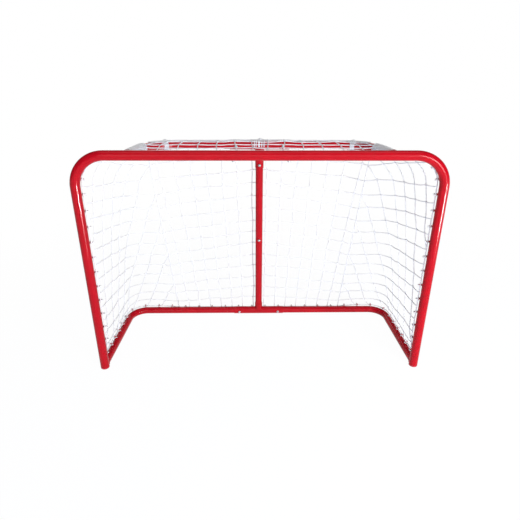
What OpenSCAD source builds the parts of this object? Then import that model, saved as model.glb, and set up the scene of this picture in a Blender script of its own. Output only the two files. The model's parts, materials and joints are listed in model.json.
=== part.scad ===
// Knock-down steel hockey goal with a knotted net.
//
// Two bent front tubes meet in a centre sleeve on the crossbar.  A U of lighter tube behind
// the crossbar carries the top of the net, a second U lies on the floor, and a two-piece
// centre post joins them.  Every slip joint is locked by a spring snap button.
// Units are millimetres.  +Z is up, -Y is the open side, and the origin is on the floor,
// at the middle of the overall width and depth.

/* [Goal] */
// Overall width, outside of the two posts
goal_w = 711; // [640:1:800]
// Overall height, top of the crossbar
goal_h = 483; // [430:1:560]
// Overall depth, front of the posts to the last net hook
goal_d = 254; // [230:1:300]

/* [Front frame] */
// Outside diameter of the posts, the crossbar and its sleeve
main_od = 19; // [18:0.5:22]
// Centre-line radius of the two top corners
corner_r = 60; // [45:1:80]
// Length of the sleeve in the middle of the crossbar
sleeve_len = 136; // [120:1:150]
// How far each crossbar half reaches into the sleeve
spigot_len = 45; // [42:1:50]
// Height of the plastic foot cap's head under each post
cap_h = 4; // [3:0.5:6]
// Height of the foot cap's plug inside the post
plug_h = 12; // [8:1:20]

/* [Rear frame] */
// Outside diameter of the shelf, base and centre post tubes
rear_od = 17; // [16:0.5:18]
// Height of the shelf bar's centre line
shelf_z = 457; // [400:1:462]
// Depth of the shelf, from the crossbar's centre line to the shelf bar's
shelf_depth = 179; // [150:1:190]
// Distance from the middle to the centre line of each shelf side tube
shelf_half_w = 245; // [225:1:258]
// Centre-line radius of the shelf's bends
shelf_bend_r = 80; // [50:1:95]
// Centre-line radius of the base's bends
base_bend_r = 42; // [30:1:60]
// Length of each tee's sleeve
tee_len = 130; // [120:1:140]
// Reach of the shelf tee's stub below the shelf bar's centre line
shelf_stub = 51; // [50:1:60]
// Reach of the base tee's stub above the base bar's centre line
base_stub = 24; // [22:1:34]
// Height of the centre post's middle joint above the base bar's centre line, along the post
mid_joint = 209; // [170:1:260]

/* [Joints] */
// Wall of every tube
tube_wall = 0.9; // [0.8:0.05:1.1]
// Radial slip between a tube and what it plugs into
slip_gap = 0.1; // [0.05:0.01:0.15]
// Gap at a seam or at a weld
seam_gap = 0.1; // [0.05:0.01:0.2]
// Distance from the middle to the snap buttons of the crossbar and of both tees
button_x = 51; // [46:0.5:54]
// Distance from a stub's or post's end to its snap button
button_setback = 8; // [7:0.5:12]
// Radius of a snap button
button_r = 3; // [2.5:0.1:3.2]
// How far a snap button stands out of its outer tube
button_proud = 2.6; // [2:0.1:3]

/* [Net] */
// Thickness and width of a net cord
cord_t = 2.4; // [2:0.1:2.6]
// Meshes across the back and top nets
back_cols = 12; // [8:2:12]
// Meshes up the back and side nets
net_rows = 14; // [8:1:14]
// Meshes from front to rear in the top net
top_rows = 4; // [3:1:5]
// Meshes from front to rear in each side net
side_cols = 5; // [3:1:5]
// Distance from the middle to each rear fold of the net, at the base bar
fold_x = 214; // [190:1:240]
// Where each rear fold starts on the shelf's bend, as an angle from the side tube
fold_turn = 33; // [20:1:50]
// How far the back net's rows droop towards the folds
droop = 24; // [0:1:30]

/* [Net hooks] */
// Wire radius of a net hook
wire_r = 1.1; // [1:0.05:1.3]
// Height of a hook's shank above the tube, to the middle of its bent tip
hook_h = 6.1; // [5.8:0.1:7]
// Length of a hook's tip, from the middle of its shank
hook_tip = 4; // [3.5:0.1:5]
// Lean of the post hooks, from straight back towards the inside
post_hook_lean = 45; // [30:1:50]
// Rise of the hooks on the base side tubes
side_hook_rise = 81; // [80:1:83]
// Rise of the hooks on the base rear bar
rear_hook_rise = 30; // [20:1:35]

/* [Hidden] */
$fn = 48;

red = [0.78, 0.06, 0.12];
steel = [0.75, 0.76, 0.78];
spring_steel = [0.45, 0.46, 0.48];
white = [0.96, 0.96, 0.95];

// Lengths and angles are rounded, so that the pieces of a bent tube meet exactly
function micron(x) = round(x * 1000) / 1000;

// The base side tubes toe in towards the rear by this angle; its sine and cosine are six-figure
// numbers, so the side and the bend of one tube meet exactly whatever the sizes are
toe_in = 3.2658;

// Radii of the tubes
main_r = main_od / 2;
main_ri = main_r - tube_wall;
spigot_r = main_ri - slip_gap;
spigot_ri = spigot_r - tube_wall;
rear_r = rear_od / 2;
rear_ri = rear_r - tube_wall;
tee_ri = rear_r + slip_gap;
tee_r = tee_ri + tube_wall;
post_spigot_r = rear_ri - slip_gap;
post_spigot_ri = post_spigot_r - tube_wall;
swage_len = 2;              // length of the shoulder behind a swaged spigot

// Places of the centre lines
rear_reach = micron((rear_r + hook_h + wire_r) * cos(rear_hook_rise)
    + hook_tip * sin(rear_hook_rise));
post_x = goal_w / 2 - main_r;
front_y = -goal_d / 2 + main_r;
bar_z = goal_h - main_r;
base_y = goal_d / 2 - rear_reach;
base_z = tee_r;
shelf_y = front_y + shelf_depth;

// The shelf lies in a plane that drops towards the rear
shelf_tilt = atan((bar_z - shelf_z) / shelf_depth);
shelf_len = micron(norm([shelf_depth, bar_z - shelf_z]));

// Where the centre lines of the base's side and rear tubes would meet
base_half_w = micron(post_x - (base_y - front_y) * tan(toe_in));
side_len = micron((base_y - front_y) / cos(toe_in));
base_turn = 90 - toe_in;
base_tangent = micron(base_bend_r * tan(base_turn / 2));

// The centre post leans forward from the base bar to the shelf bar
post_lean = atan((base_y - shelf_y) / (shelf_z - base_z));
post_len = micron(norm([base_y - shelf_y, shelf_z - base_z]));

// Snap buttons and their springs
tee_half = tee_len / 2;
sleeve_half = sleeve_len / 2;
tube_end_x = 20;            // inner end of the shelf and base tubes inside their tees
post_end = 12;              // distance from a bar's centre line to the post's end in the stub
mid_spigot_len = 34;        // reach of the lower post's swaged end into the upper post
hole_r = button_r + 0.2;
flange_r = button_r + 0.9;
flange_t = 0.8;
tail_r = 1.4;
tail_len = 1.2;
button_travel = button_proud + tube_wall + slip_gap;
spring_len = 30;
spring_w = 6;
spring_t = 0.5;
spring_gap = 0.15;          // between the button's flange and the spring's upper leg

// Net and hooks
cord_r = cord_t / 2;
lay_gap = 0.3;              // between a net cord and the tube that it lies on
hook_gap = 0.02;            // between a hook's foot and its tube
elbow_r = 2;                // bend of a hook's wire
hook_hold = hook_h - wire_r - cord_r - 0.9;    // height of the held cord above the tube
hook_side = wire_r + cord_r + 1.6;             // distance of the held cord from the shank
wrap_low = 5;               // angle, from straight out, at which the net hangs off the shelf
wrap_high = 45;             // angle at which the side and back nets end on the shelf's tube
foot_lean = -30;            // lean of the net's edge behind the foot of each post
foot_run = 80;              // length of post over which the lean changes to that of the hooks
fold_half = 1.8;            // half the distance between the nets' edges along a fold
bottom_shift = 10;          // how far the side nets' middle bottom corners move, clear of hooks
bottom_lift = 2.4;          // how far the side nets' straight cords rise over the base's round bends
lift_before = 12;           // length of side tube over which they start to rise before a bend
lift_after = 38;            // length of rear bar over which they come down again behind it
rise_over = 20;             // length of rear bar past a bend before the hooks start to lean back
bend_slack = 3;             // how far the net's straight cords stand off the shelf's round bends
bend_over = 20;             // length of tube over which they come back, past each end of a bend
top_side_turn = 130;        // angle at which the top net ends on the shelf's side tubes
top_rear_turn = 100;        // and on the shelf bar

// ---------------------------------------------------------------- tubes

module ring(ro, ri, h) {
    difference() {
        cylinder(r = ro, h = h);
        translate([0, 0, -1]) cylinder(r = ri, h = h + 2);
    }
}

// A tube along +X from x0 to x1
module x_ring(x0, x1, ro, ri) {
    translate([x0, 0, 0]) rotate([0, 90, 0]) ring(ro, ri, x1 - x0);
}

// A tube along +Y from y0 to y1
module y_ring(y0, y1, ro, ri) {
    translate([0, y0, 0]) rotate([-90, 0, 0]) ring(ro, ri, y1 - y0);
}

// A bend in the XY plane, from the angle first and turning to the left
module bend(r, turn, ro, ri, first = 0) {
    rotate_extrude(angle = turn, start = first) translate([r, 0]) difference() {
        circle(r = ro);
        circle(r = ri);
    }
}

// A hole for a snap button through one wall, towards +Z
module button_hole(reach) {
    cylinder(r = hole_r, h = reach);
}

// The frame of the centre post: origin on the base bar, +Z up along the post
module post_frame() {
    translate([0, base_y, base_z]) rotate([post_lean, 0, 0]) children();
}

// The frame of the shelf: origin on the crossbar, +Y back along the tilted shelf
module shelf_frame() {
    translate([0, front_y, bar_z]) rotate([-shelf_tilt, 0, 0]) children();
}

// Places of the snap buttons: +Z points out of the tube, +X along it, away from the joint
module crossbar_button_frame(side) {
    translate([side * button_x, front_y, bar_z]) scale([side, 1, 1]) rotate([180, 0, 0]) children();
}
module shelf_button_frame(side) {
    post_frame() translate([side * button_x, 0, post_len]) scale([side, 1, 1])
        rotate([90, 0, 0]) children();
}
module base_button_frame(side) {
    post_frame() translate([side * button_x, 0, 0]) scale([side, 1, 1])
        rotate([90, 0, 0]) children();
}
module post_top_frame() {
    post_frame() translate([0, 0, post_len - shelf_stub + button_setback])
        rotate([90, 0, 0]) rotate([0, 0, -90]) children();
}
module post_middle_frame() {
    post_frame() translate([0, 0, mid_joint + button_setback])
        rotate([90, 0, 0]) rotate([0, 0, -90]) children();
}

// Post, corner and crossbar half in one bent tube, with its end swaged to enter the sleeve
module front_tube() {
    shoulder = sleeve_half + seam_gap;
    difference() {
        union() {
            translate([post_x, front_y, cap_h]) ring(main_r, main_ri, bar_z - corner_r - cap_h);
            translate([post_x - corner_r, front_y, bar_z - corner_r])
                rotate([90, 0, 0]) bend(corner_r, 90, main_r, main_ri);
            translate([0, front_y, bar_z]) {
                x_ring(shoulder + swage_len, post_x - corner_r, main_r, main_ri);
                x_ring(shoulder, shoulder + swage_len, main_r, spigot_ri);
                x_ring(sleeve_half - spigot_len, shoulder, spigot_r, spigot_ri);
            }
        }
        crossbar_button_frame(1) button_hole(main_r);
    }
}
module left_front_tube() color(red) mirror([1, 0, 0]) front_tube();
module right_front_tube() color(red) front_tube();

// Centre sleeve of the crossbar, flush with both halves
module crossbar_sleeve() color(red) {
    difference() {
        translate([0, front_y, bar_z]) x_ring(-sleeve_half, sleeve_half, main_r, main_ri);
        for (side = [-1, 1]) crossbar_button_frame(side) button_hole(main_r + 1);
    }
}

// Plastic cap that closes the foot of a post: flat sole, round edge, ribbed plug
module foot_cap() {
    edge = cap_h / 2;
    translate([post_x, front_y, 0]) {
        rotate_extrude() union() {
            translate([0, edge]) square([main_r, cap_h - edge]);
            square([main_r - edge, edge]);
            intersection() {
                translate([main_r - edge, edge]) circle(r = edge);
                translate([main_r - edge, 0]) square([edge, edge]);
            }
        }
        translate([0, 0, cap_h]) cylinder(r = main_ri - 1, h = plug_h);
        for (k = [1:3]) translate([0, 0, cap_h + k * plug_h / 4])
            cylinder(r1 = main_ri - slip_gap, r2 = main_ri - 1, h = plug_h / 6);
    }
}
module left_foot_cap() color(red) mirror([1, 0, 0]) foot_cap();
module right_foot_cap() color(red) foot_cap();

// Half of the shelf's U, its front end coped to the back of the crossbar
module shelf_tube() {
    difference() {
        shelf_frame() {
            translate([shelf_half_w, 0, 0]) y_ring(0, shelf_len - shelf_bend_r, rear_r, rear_ri);
            translate([shelf_half_w - shelf_bend_r, shelf_len - shelf_bend_r, 0])
                bend(shelf_bend_r, 90, rear_r, rear_ri);
            translate([0, shelf_len, 0])
                x_ring(tube_end_x, shelf_half_w - shelf_bend_r, rear_r, rear_ri);
        }
        translate([0, front_y, bar_z]) rotate([0, 90, 0]) cylinder(r = main_r + seam_gap, h = goal_w);
        shelf_button_frame(1) button_hole(rear_od);
    }
}
module left_shelf_tube() color(red) mirror([1, 0, 0]) shelf_tube();
module right_shelf_tube() color(red) shelf_tube();

// Half of the base's U, its front end coped to the back of the post
module base_tube() {
    difference() {
        union() {
            translate([base_half_w - base_tangent, base_y - base_bend_r, base_z]) {
                rotate([0, 0, toe_in]) translate([base_bend_r, 0, 0])
                    y_ring(base_tangent - side_len, 0, rear_r, rear_ri);
                bend(base_bend_r, base_turn, rear_r, rear_ri, toe_in);
            }
            translate([0, base_y, base_z])
                x_ring(tube_end_x, base_half_w - base_tangent, rear_r, rear_ri);
        }
        translate([post_x, front_y, 0]) cylinder(r = main_r + seam_gap, h = goal_h / 4);
        base_button_frame(1) button_hole(rear_od);
    }
}
module left_base_tube() color(red) mirror([1, 0, 0]) base_tube();
module right_base_tube() color(red) base_tube();

// A tee: a sleeve along X and a stub along Z, bored through
module tee(stub) {
    difference() {
        union() {
            translate([-tee_half, 0, 0]) rotate([0, 90, 0]) cylinder(r = tee_r, h = tee_len);
            cylinder(r = tee_r, h = stub);
        }
        translate([-tee_half - 1, 0, 0]) rotate([0, 90, 0]) cylinder(r = tee_ri, h = tee_len + 2);
        cylinder(r = tee_ri, h = stub + 1);
    }
}
module shelf_tee() color(red) {
    difference() {
        post_frame() translate([0, 0, post_len]) mirror([0, 0, 1]) tee(shelf_stub);
        for (side = [-1, 1]) shelf_button_frame(side) button_hole(tee_r + 1);
        post_top_frame() button_hole(tee_r + 1);
    }
}
module base_tee() color(red) {
    difference() {
        post_frame() tee(base_stub);
        for (side = [-1, 1]) base_button_frame(side) button_hole(tee_r + 1);
    }
}

// Upper half of the centre post, from the shelf tee's stub to the middle joint
module centre_post_upper() color(red) {
    difference() {
        post_frame() translate([0, 0, mid_joint])
            ring(rear_r, rear_ri, post_len - post_end - mid_joint);
        post_top_frame() button_hole(rear_od);
        post_middle_frame() button_hole(rear_od);
    }
}

// Lower half, with its top end swaged to enter the upper half
module centre_post_lower() color(red) {
    shoulder = mid_joint - seam_gap;
    difference() {
        post_frame() {
            translate([0, 0, post_end]) ring(rear_r, rear_ri, shoulder - swage_len - post_end);
            translate([0, 0, shoulder - swage_len]) ring(rear_r, post_spigot_ri, swage_len);
            translate([0, 0, shoulder]) ring(post_spigot_r, post_spigot_ri, mid_spigot_len);
        }
        post_middle_frame() button_hole(rear_od);
    }
}

// ---------------------------------------------------------------- snap buttons

// Top of the flange inside a tube of radius ri
function flange_top(ri) = sqrt(ri * ri - flange_r * flange_r) - 0.2;

// Domed button with a flange that stays inside, and a riveted tail; ro is the outer tube's radius
module snap_button(ro, ri) {
    top = ro + button_proud;
    dome = button_r * 0.6;
    color(steel) rotate_extrude() union() {
        translate([0, flange_top(ri) - flange_t]) square([flange_r, flange_t]);
        translate([0, flange_top(ri)]) square([button_r, top - dome - flange_top(ri)]);
        intersection() {
            translate([0, top - dome]) scale([1, 0.6]) circle(r = button_r);
            translate([0, top - dome]) square([button_r, dome]);
        }
        translate([0, flange_top(ri) - flange_t - tail_len]) square([tail_r, tail_len]);
    }
}

// Folded leaf spring: the upper leg carries the button, the lower leg lies on the far wall
module snap_spring(ri) {
    leg_top = flange_top(ri) - flange_t - spring_gap;
    leg_low = -(sqrt(ri * ri - spring_w * spring_w / 4) - lay_gap);
    fold = spring_len;
    mid = (leg_top + leg_low) / 2;
    color(spring_steel) difference() {
        rotate([90, 0, 0]) linear_extrude(height = spring_w, center = true) polygon([
            [-flange_r, leg_top], [flange_r, leg_top], [fold - 1, mid + 1], [fold, mid],
            [fold - 1, mid - 1], [flange_r, leg_low], [-flange_r, leg_low],
            [-flange_r, leg_low + spring_t], [flange_r, leg_low + spring_t],
            [fold - 1 - spring_t, mid - 0.6], [fold - 1 - spring_t, mid + 0.6],
            [flange_r, leg_top - spring_t], [-flange_r, leg_top - spring_t]
        ]);
        translate([0, 0, leg_top - 2]) cylinder(r = tail_r + spring_gap, h = 4);
    }
}

module crossbar_left_button() crossbar_button_frame(-1) snap_button(main_r, spigot_ri);
module crossbar_left_spring() crossbar_button_frame(-1) snap_spring(spigot_ri);
module crossbar_right_button() crossbar_button_frame(1) snap_button(main_r, spigot_ri);
module crossbar_right_spring() crossbar_button_frame(1) snap_spring(spigot_ri);
module shelf_left_button() shelf_button_frame(-1) snap_button(tee_r, rear_ri);
module shelf_left_spring() shelf_button_frame(-1) snap_spring(rear_ri);
module shelf_right_button() shelf_button_frame(1) snap_button(tee_r, rear_ri);
module shelf_right_spring() shelf_button_frame(1) snap_spring(rear_ri);
module post_top_button() post_top_frame() snap_button(tee_r, rear_ri);
module post_top_spring() post_top_frame() snap_spring(rear_ri);
module post_middle_button() post_middle_frame() snap_button(rear_r, post_spigot_ri);
module post_middle_spring() post_middle_frame() snap_spring(post_spigot_ri);
module base_left_button() base_button_frame(-1) snap_button(tee_r, rear_ri);
module base_left_spring() base_button_frame(-1) snap_spring(rear_ri);
module base_right_button() base_button_frame(1) snap_button(tee_r, rear_ri);
module base_right_spring() base_button_frame(1) snap_spring(rear_ri);

// ---------------------------------------------------------------- paths that the net follows
// Each path gives [point, inward or outward direction] at a parameter; ends may be overrun.
// They describe the right half; the left half is its mirror image.

function mix(a, b, t) = a + (b - a) * t;
function unit(v) = v / norm(v);
function up_at(a, out) = out * cos(a) + [0, 0, 1] * sin(a);

// Post path, by height z on the post, then by angle round the corner, then along the crossbar:
// s is the length from the floor.  Returns [centre, inward direction].
post_run = bar_z - corner_r;
arc_run = corner_r * PI / 2;
function front_path(s) =
    s < post_run ? [[post_x, front_y, s], [-1, 0, 0]] :
    s < post_run + arc_run ? let (a = (s - post_run) / arc_run * 90)
        [[post_x - corner_r + corner_r * cos(a), front_y, post_run + corner_r * sin(a)],
         [-cos(a), 0, -sin(a)]] :
    [[post_x - corner_r - (s - post_run - arc_run), front_y, bar_z], [0, 0, -1]];

// Lean of the hooks from straight back towards the inside: changes round the corner
function front_lean(s) =
    s < foot_run ? mix(foot_lean, post_hook_lean, max(0, s) / foot_run) :
    post_hook_lean * (1 - min(1, max(0, (s - post_run) / arc_run)));
function front_hook_dir(s) = front_path(s)[1] * sin(front_lean(s)) + [0, 1, 0] * cos(front_lean(s));
function front_tip_dir(s) = front_path(s)[1] * cos(front_lean(s)) - [0, 1, 0] * sin(front_lean(s));
function front_cord(s) = front_path(s)[0] + front_hook_dir(s) * (main_r + hook_hold)
    + front_tip_dir(s) * hook_side;

// Shelf path, by length from the crossbar's centre line.  Returns [centre, outward direction].
shelf_side = shelf_len - shelf_bend_r;
shelf_arc = shelf_bend_r * PI / 2;
function tilted(y) = [0, front_y + y * cos(shelf_tilt), bar_z - y * sin(shelf_tilt)];
function shelf_path(s) =
    s < shelf_side ? [tilted(s) + [shelf_half_w, 0, 0], [1, 0, 0]] :
    s < shelf_side + shelf_arc ? let (a = (s - shelf_side) / shelf_arc * 90)
        [tilted(shelf_side + shelf_bend_r * sin(a))
            + [shelf_half_w - shelf_bend_r + shelf_bend_r * cos(a), 0, 0],
         [cos(a), sin(a), 0]] :
    [tilted(shelf_len) + [shelf_half_w - shelf_bend_r - (s - shelf_side - shelf_arc), 0, 0],
     [0, 1, 0]];
// Net cord on the shelf's tube, at angle a from straight out; it stays clear of the tee as well
function share(s, from, to) = min(1, max(0, (s - from) / (to - from)));
function round_bend(s) = share(s, shelf_side, shelf_side + shelf_arc);
function standoff(s) = bend_slack
    * sin(180 * share(s, shelf_side - bend_over, shelf_side + shelf_arc + bend_over));
function shelf_cord(s, a) = shelf_path(s)[0] + up_at(a, shelf_path(s)[1])
    * (mix(rear_r, tee_r, round_bend(s)) + lay_gap + cord_r * sqrt(2) + standoff(s));

// Base path, by length from the post.  Returns [centre, outward direction].
base_side = side_len - base_tangent;
base_arc = base_bend_r * base_turn * PI / 180;
base_corner = [post_x, front_y, base_z] + base_side * [-sin(toe_in), cos(toe_in), 0]
    - base_bend_r * [cos(toe_in), sin(toe_in), 0];
function base_path(s) =
    s < base_side ? [[post_x, front_y, base_z] + s * [-sin(toe_in), cos(toe_in), 0],
        [cos(toe_in), sin(toe_in), 0]] :
    s < base_side + base_arc ? let (a = toe_in + (s - base_side) / base_arc * base_turn)
        [base_corner + base_bend_r * [cos(a), sin(a), 0], [cos(a), sin(a), 0]] :
    [[base_half_w - base_tangent - (s - base_side - base_arc), base_y, base_z], [0, 1, 0]];
base_bent = base_side + base_arc;
function base_rise(s) = mix(side_hook_rise, rear_hook_rise,
    share(s, base_bent + rise_over, base_fold));
function base_hook_dir(s) = up_at(base_rise(s), base_path(s)[1]);
function base_tip_dir(s) = up_at(base_rise(s) - 90, base_path(s)[1]);
function base_cord(s) = base_path(s)[0] + base_hook_dir(s) * (rear_r + hook_hold)
    + base_tip_dir(s) * hook_side;

// ---------------------------------------------------------------- hooks

// Bent wire hook on a tube of radius r at centre c, its shank along d and its tip along t;
// foot_r is where the shank stands, when that is on a tee
module hook(c, d, t, r, foot_r) {
    w = cross(d, t);
    multmatrix([
        [t[0], w[0], d[0], c[0]],
        [t[1], w[1], d[1], c[1]],
        [t[2], w[2], d[2], c[2]],
        [0, 0, 0, 1]
    ]) union() {
        translate([0, 0, foot_r + hook_gap])
            cylinder(r = wire_r, h = r + hook_h - elbow_r - foot_r - hook_gap);
        translate([elbow_r, 0, r + hook_h - elbow_r]) rotate([90, 0, 0]) rotate([0, 0, 90])
            rotate_extrude(angle = 90) translate([elbow_r, 0]) circle(r = wire_r);
        translate([elbow_r, 0, r + hook_h]) rotate([0, 90, 0])
            cylinder(r = wire_r, h = hook_tip - elbow_r);
    }
}
module front_hook(s) hook(front_path(s)[0], front_hook_dir(s), front_tip_dir(s), main_r, main_r);
module base_hook(s) hook(base_path(s)[0], base_hook_dir(s), base_tip_dir(s), rear_r,
    abs(base_path(s)[0][0]) < tee_half ? tee_r : rear_r);

// One hook to every mesh of the nets' edges, in the middle of the mesh where it is short,
// and two where a mesh is stretched; the lowest mesh beside each foot has none
module crossbar_hooks() color(red)
    for (k = [1:back_cols - 2]) let (x = mix(-1, 1, (k + 0.5) / back_cols) * top_edge(0)[0])
        hook([x, front_y, bar_z], [0, 1, 0], [0, 0, -1], main_r, main_r);
module post_hooks() {
    for (k = [1:net_rows - 3]) front_hook(front_s((k + 0.5) / net_rows));
    for (k = [0:3]) front_hook(front_s(1 - (k + 0.5) / 2 / net_rows));
}
module left_post_hooks() color(red) mirror([1, 0, 0]) post_hooks();
module right_post_hooks() color(red) post_hooks();
module base_hooks() for (k = [0:2 * side_cols - 1])
    base_hook(side_bottom_s((k + 0.5) / 2 / side_cols));
module left_base_hooks() color(red) mirror([1, 0, 0]) base_hooks();
module right_base_hooks() color(red) base_hooks();
module rear_base_hooks() color(red)
    for (k = [0:back_cols / 2 - 1], side = [0, 1]) mirror([side, 0, 0])
        base_hook(mix(base_mid, base_fold, (k + 0.5) / back_cols * 2));

// ---------------------------------------------------------------- nets

// Where the nets' edges start and end along the paths
base_start = main_r + hook_hold;
base_mid = base_bent + base_half_w - base_tangent;
base_fold = base_mid - fold_x;
shelf_start = main_r + hook_hold;
shelf_mid = shelf_side + shelf_arc + shelf_half_w - shelf_bend_r;
shelf_fold = shelf_side + shelf_arc * fold_turn / 90;
front_start = base_cord(base_start)[2];
front_end = post_run + arc_run + post_x - corner_r - shelf_cord(shelf_start, wrap_low)[0];
fold_low = base_cord(base_fold);
fold_top = shelf_cord(shelf_fold, wrap_low);
row_len = norm(fold_top - fold_low) / net_rows;
low_rows = net_rows - 2;    // rows below the corner; the last two share the rest of the edge
front_low = front_start + low_rows * row_len;

function coons(b, t, f, r, c, u, v) = (1 - v) * b + v * t + (1 - u) * f + u * r
    - (1 - u) * (1 - v) * c[0] - u * (1 - v) * c[1] - (1 - u) * v * c[2] - u * v * c[3];
function flip(p) = [-p[0], p[1], p[2]];
function near(t) = pow(min(1, max(0, t)), 8);
function fall(v) = droop * sqrt(max(0, sin(180 * v)));

// Side net, right: u from the post to the fold, v upwards
function front_s(v) = v * net_rows < low_rows ? front_start + v * net_rows * row_len :
    mix(front_low, front_end, (v * net_rows - low_rows) / 2);
function side_bottom_s(u) = mix(base_start, base_fold - fold_half, u)
    - bottom_shift * pow(sin(180 * u), 2);
function side_bottom(u) = let (s = side_bottom_s(u)) base_cord(s)
    + [0, 0, bottom_lift * sin(180 * share(s, base_side - lift_before, base_bent + lift_after))];
function side_top_s(u) = mix(shelf_start, shelf_fold - fold_half, u);
function side_top(u) = shelf_cord(side_top_s(u), wrap_low);
function side_front(v) = front_cord(front_s(v))
    + near(1 - v * net_rows) * (side_bottom(0) - front_cord(front_start))
    + near(1 - (1 - v) * net_rows) * (side_top(0) - front_cord(front_end));
function side_fold(v) = mix(side_bottom(1), side_top(1), v - fall(v) / row_len / net_rows);
function side_point(u, v) = v > 1 ?
    shelf_cord(side_top_s(u), mix(wrap_low, wrap_high, (v - 1) * net_rows)) :
    coons(side_bottom(u), side_top(u), side_front(v), side_fold(v),
        [side_bottom(0), side_bottom(1), side_top(0), side_top(1)], u, v);

// Back net: u from left to right, v upwards
function right_half(u) = abs(2 * u - 1);
function on_side(p, u) = u < 0.5 ? flip(p) : p;
function back_top_s(u) = mix(shelf_mid, shelf_fold + fold_half, right_half(u));
function back_bottom(u) =
    on_side(base_cord(mix(base_mid, base_fold + fold_half, right_half(u))), u);
function back_top(u) = on_side(shelf_cord(back_top_s(u), wrap_low), u);
function back_fold(v) = mix(back_bottom(1), back_top(1), v - fall(v) / row_len / net_rows);
function back_point(u, v) = v > 1 ?
    on_side(shelf_cord(back_top_s(u), mix(wrap_low, wrap_high, (v - 1) * net_rows)), u) :
    coons(back_bottom(u), back_top(u), flip(back_fold(v)), back_fold(v),
        [back_bottom(0), back_bottom(1), back_top(0), back_top(1)], u, v)
    + (1 - right_half(u)) * fall(v) * unit(back_top(0.5) - back_bottom(0.5));

// Top net: u from left to right, v from the crossbar to the shelf bar
function top_edge(v) = let (s = mix(shelf_start, shelf_side + shelf_arc / 2, v))
    shelf_cord(s, mix(top_side_turn, top_rear_turn, round_bend(s)));
function top_rear(u) = let (s = mix(shelf_mid, shelf_side + shelf_arc / 2, right_half(u)))
    on_side(shelf_cord(s, mix(top_side_turn, top_rear_turn, round_bend(s))), u);
function top_front(u) = let (low = bar_z - hook_side, rise = pow(right_half(u), 12))
    [mix(-1, 1, u) * top_edge(0)[0], front_y + shelf_start, mix(low, top_edge(0)[2], rise)];
function top_point(u, v) = coons(top_front(u), top_rear(u), flip(top_edge(v)), top_edge(v),
    [top_front(0), top_front(1), top_rear(0), top_rear(1)], u, v);

function net_point(kind, u, v) = kind == 0 ? top_point(u, v) :
    kind == 1 ? back_point(u, v) : side_point(u, v);

// Corner (i, j) of the lattice on both of its faces: a cord's edge beside crossing (i/2, j/2)
function lattice_point(kind, nu, nv, i, j, face) = let (
    e = 0.004,
    uk = floor(i / 2) / nu,
    vk = floor(j / 2) / nv,
    du = (net_point(kind, uk + e, vk) - net_point(kind, uk - e, vk)) / (2 * e),
    dv = (net_point(kind, uk, vk + e) - net_point(kind, uk, vk - e)) / (2 * e),
    u = uk + (i % 2 == 0 ? -1 : 1) * cord_r / norm(du),
    v = vk + (j % 2 == 0 ? -1 : 1) * cord_r / norm(dv)
) net_point(kind, u, v) + face * cord_r * unit(cross(du, dv));

// True where the lattice has a cord or a crossing between corners (i, j) and (i + 1, j + 1)
function corded(i, j, a, b) =
    i >= 0 && j >= 0 && i < a - 1 && j < b - 1 && (i % 2 == 0 || j % 2 == 0);

// One closed solid: a net of square cords with nu by nv meshes, of nominal size 1 by nv / rows
module lattice(kind, nu, nv, rows) {
    a = 2 * nu + 2;
    b = 2 * nv + 2;
    n = a * b;
    polyhedron(
        points = [for (face = [1, -1], j = [0:b - 1], i = [0:a - 1])
            lattice_point(kind, nu, rows, i, j, face)],
        faces = [
            for (j = [0:b - 2], i = [0:a - 2]) if (corded(i, j, a, b))
                let (p = j * a + i, q = p + a)
                for (f = [[p, q, q + 1], [p, q + 1, p + 1],
                    [n + p, n + q + 1, n + q], [n + p, n + p + 1, n + q + 1]]) f,
            for (j = [0:b - 2], i = [0:a - 1])
                if (corded(i - 1, j, a, b) != corded(i, j, a, b))
                let (p = j * a + i, q = p + a)
                for (f = corded(i, j, a, b) ? [[p, n + p, n + q], [p, n + q, q]] :
                    [[p, n + q, n + p], [p, q, n + q]]) f,
            for (j = [0:b - 1], i = [0:a - 2])
                if (corded(i, j - 1, a, b) != corded(i, j, a, b))
                let (p = j * a + i, q = p + 1)
                for (f = corded(i, j, a, b) ? [[p, n + q, n + p], [p, q, n + q]] :
                    [[p, n + p, n + q], [p, n + q, q]]) f
        ],
        convexity = 10
    );
}
module top_net() color(white) lattice(0, back_cols, top_rows, top_rows);
module back_net() color(white) lattice(1, back_cols, net_rows + 1, net_rows);
module left_side_net() color(white) mirror([1, 0, 0]) lattice(2, side_cols, net_rows + 1, net_rows);
module right_side_net() color(white) lattice(2, side_cols, net_rows + 1, net_rows);

// ---------------------------------------------------------------- the goal

left_front_tube();
right_front_tube();
crossbar_sleeve();
left_foot_cap();
right_foot_cap();
left_shelf_tube();
right_shelf_tube();
shelf_tee();
centre_post_upper();
centre_post_lower();
left_base_tube();
right_base_tube();
base_tee();
crossbar_left_button();
crossbar_left_spring();
crossbar_right_button();
crossbar_right_spring();
shelf_left_button();
shelf_left_spring();
shelf_right_button();
shelf_right_spring();
post_top_button();
post_top_spring();
post_middle_button();
post_middle_spring();
base_left_button();
base_left_spring();
base_right_button();
base_right_spring();
crossbar_hooks();
left_post_hooks();
right_post_hooks();
left_base_hooks();
right_base_hooks();
rear_base_hooks();
top_net();
back_net();
left_side_net();
right_side_net();
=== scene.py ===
# %% [markdown]
# # A knock-down hockey goal
# The bent steel tubes, sleeves, tees, foot caps, hooks and snap buttons come finished from the CAD
# model.  What CAD holds only as a rough lattice is the net, and that is what this lesson makes:
# a knotted white net hung on hooks, with its border cords, hitches and lashings.  The steel gets
# its paint, and the welds that hold it together.

# %% Load the frame
import json
import math
import random

import bpy
from mathutils import Matrix, Vector


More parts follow.
